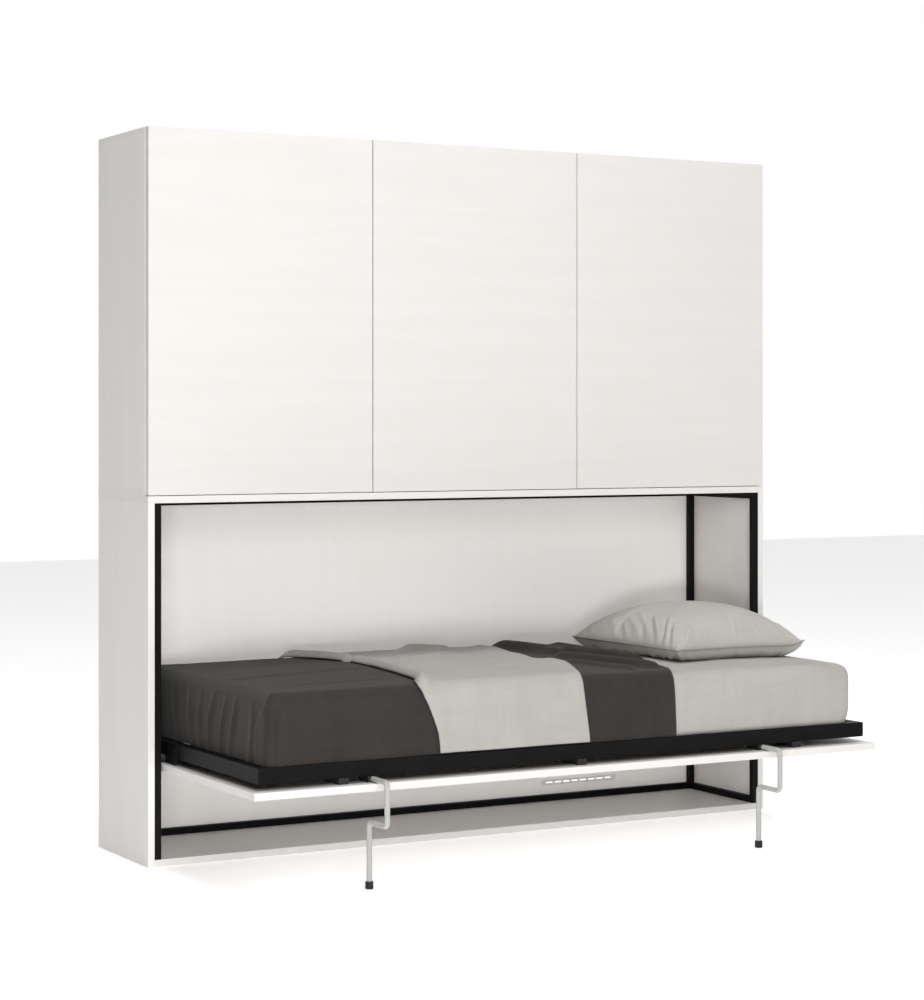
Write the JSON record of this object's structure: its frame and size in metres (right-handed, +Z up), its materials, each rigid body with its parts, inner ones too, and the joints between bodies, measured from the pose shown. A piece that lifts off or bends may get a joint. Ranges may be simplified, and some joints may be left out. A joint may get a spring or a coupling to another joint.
{
  "type": "wall bed",
  "caption": "Horizontal fold-down wall bed in a white cabinet, with a front panel, turning tube legs, made-up bedding and a hinged-door cupboard above.",
  "frame": {"origin": "centre of the cabinet's footprint, on the floor", "axes": "+X to the right seen from the front, +Y from the front to the wall, +Z up"},
  "size_m": [2.11, 1.0615, 2.065],
  "materials": {
    "white_board": "satin white foil with a faint wood grain",
    "inner_board": "smooth white laminate",
    "black_steel": "semi-matt black powder coat",
    "leg_steel": "light grey powder coat",
    "bright_steel": "zinc plated",
    "black_plastic": "moulded, matt",
    "white_plastic": "moulded, matt",
    "rubber_black": "matt",
    "slat_wood": "sanded birch",
    "mattress_cloth": "light grey cotton sheet",
    "dark_cloth": "dark brown-grey brushed cotton",
    "light_cloth": "light grey cotton",
    "pillow_cloth": "light grey cotton"
  },
  "bodies": {
    "cabinet": {"door_hinge_arms": "bright_steel", "frame_back_bottom": "black_steel", "frame_back_top": "black_steel", "frame_front_posts": "black_steel", "frame_pivot_bars": "black_steel", "frame_rear_posts": "black_steel", "frame_side_rails_bottom": "black_steel", "frame_side_rails_top": "black_steel", "gas_spring_studs": "bright_steel", "lower_back": "inner_board", "lower_bottom": "white_board", "lower_side_left": "white_board", "lower_side_right": "white_board", "lower_top": "white_board", "pivot_bushes": "black_plastic", "pivot_pins": "bright_steel", "shelf_left": "inner_board", "shelf_middle": "inner_board", "shelf_pins": "bright_steel", "shelf_right": "inner_board", "upper_back": "inner_board", "upper_bottom": "white_board", "upper_partition_left": "inner_board", "upper_partition_right": "inner_board", "upper_side_left": "white_board", "upper_side_right": "white_board", "upper_top": "white_board", "vent_grille": "white_plastic"},
    "bed": {"bed_centre_beam": "black_steel", "bed_panel": "white_board", "bed_rail_front": "black_steel", "bed_rail_left": "black_steel", "bed_rail_rear": "black_steel", "bed_rail_right": "black_steel", "bed_slats": "slat_wood", "slat_holders": "black_plastic", "panel_spacers": "black_plastic", "leg_sleeves": "black_plastic", "pivot_plates": "black_steel", "pivot_plate_bolts": "bright_steel", "mattress": "mattress_cloth", "duvet": "dark_cloth", "throw": "light_cloth", "pillow": "pillow_cloth"},
    "left_door": {"door_left": "white_board", "door_left_hinge_cups": "bright_steel"},
    "middle_door": {"door_middle": "white_board", "door_middle_hinge_cups": "bright_steel"},
    "right_door": {"door_right": "white_board", "door_right_hinge_cups": "bright_steel"},
    "left_leg": {"leg_left": "leg_steel", "leg_foot_left": "rubber_black"},
    "left_gas_cylinder": {"gas_spring_cylinder_left": "black_steel"},
    "left_gas_rod": {"gas_spring_rod_left": "bright_steel"},
    "right_leg": {"leg_right": "leg_steel", "leg_foot_right": "rubber_black"},
    "right_gas_cylinder": {"gas_spring_cylinder_right": "black_steel"},
    "right_gas_rod": {"gas_spring_rod_right": "bright_steel"}
  },
  "joints": [
    {"name": "bed_fold", "type": "hinge", "parent": "cabinet", "child": "bed", "pos_m": [0, -0.159, 0.299], "axis": [-1, 0, 0], "range_deg": [0, 90], "deforming": ["pillow"]},
    {"name": "door_left_swing", "type": "hinge", "parent": "cabinet", "child": "left_door", "pos_m": [-1.0535, -0.192, 1.55], "axis": [0, 0, -1], "range_deg": [0, 90]},
    {"name": "door_middle_swing", "type": "hinge", "parent": "cabinet", "child": "middle_door", "pos_m": [-0.35017, -0.192, 1.55], "axis": [0, 0, -1], "range_deg": [0, 90]},
    {"name": "door_right_swing", "type": "hinge", "parent": "cabinet", "child": "right_door", "pos_m": [1.0535, -0.192, 1.55], "axis": [0, 0, 1], "range_deg": [0, 90]},
    {"name": "leg_left_turn", "type": "hinge", "parent": "bed", "child": "left_leg", "pos_m": [-0.654, -0.75, 0.2945], "axis": [0, -1, 0], "range_deg": [0, 70]},
    {"name": "leg_right_turn", "type": "hinge", "parent": "bed", "child": "right_leg", "pos_m": [0.621, -0.75, 0.2945], "axis": [0, 1, 0], "range_deg": [0, 70]},
    {"name": "gas_left_swing", "type": "hinge", "parent": "cabinet", "child": "left_gas_cylinder", "pos_m": [-1.004, 0.174, 0.47], "axis": [1, 0, 0], "range_deg": [0, 9.3]},
    {"name": "gas_left_slide", "type": "slide", "parent": "left_gas_cylinder", "child": "left_gas_rod", "axis": [0, -0.8421, -0.5393], "range_m": [0, 0.1432]},
    {"name": "gas_right_swing", "type": "hinge", "parent": "cabinet", "child": "right_gas_cylinder", "pos_m": [1.004, 0.174, 0.47], "axis": [1, 0, 0], "range_deg": [0, 9.3]},
    {"name": "gas_right_slide", "type": "slide", "parent": "right_gas_cylinder", "child": "right_gas_rod", "axis": [0, -0.8421, -0.5393], "range_m": [0, 0.1432]}
  ],
  "couplings": [
    {"joint": "gas_left_swing", "follows": "bed_fold", "ratio": 0.10256},
    {"joint": "gas_left_slide", "follows": "bed_fold", "m_per_rad": 0.09093},
    {"joint": "gas_right_swing", "follows": "bed_fold", "ratio": 0.10256},
    {"joint": "gas_right_slide", "follows": "bed_fold", "m_per_rad": 0.09093}
  ]
}
